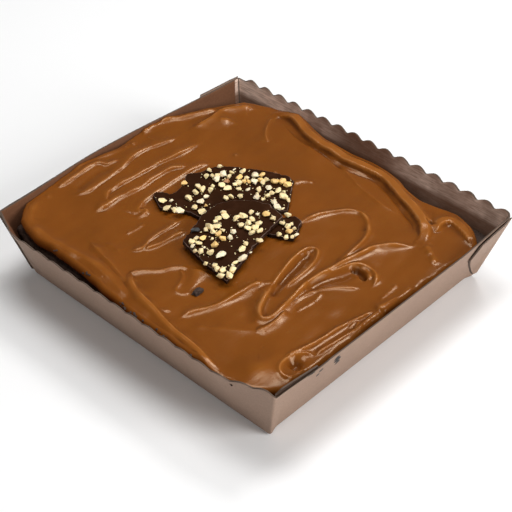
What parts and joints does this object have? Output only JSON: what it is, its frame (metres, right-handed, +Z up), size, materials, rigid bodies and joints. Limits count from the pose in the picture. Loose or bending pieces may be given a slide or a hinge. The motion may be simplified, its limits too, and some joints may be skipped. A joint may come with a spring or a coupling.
{
  "type": "brownie",
  "caption": "Rectangular chocolate brownie under swirled caramel icing in its folded board tray with scalloped rims, with broken dark chocolate pieces on top.",
  "frame": {"origin": "middle of the tray's flat underside", "axes": "+Z up, out of the open top; +Y along the two scalloped walls, the longer side; +X across"},
  "size_m": [0.1873, 0.2031, 0.0435],
  "materials": {
    "tray_board": "matt uncoated brown board",
    "brownie_crumb": "dull moist cake crumb",
    "caramel_icing": "glossy spread caramel",
    "dark_chocolate": "satin moulded chocolate"
  },
  "bodies": {
    "root": {"tray": "tray_board", "brownie": "brownie_crumb", "icing": "caramel_icing", "shard_back": "dark_chocolate", "shard_right": "dark_chocolate", "shard_front": "dark_chocolate"}
  },
  "joints": []
}
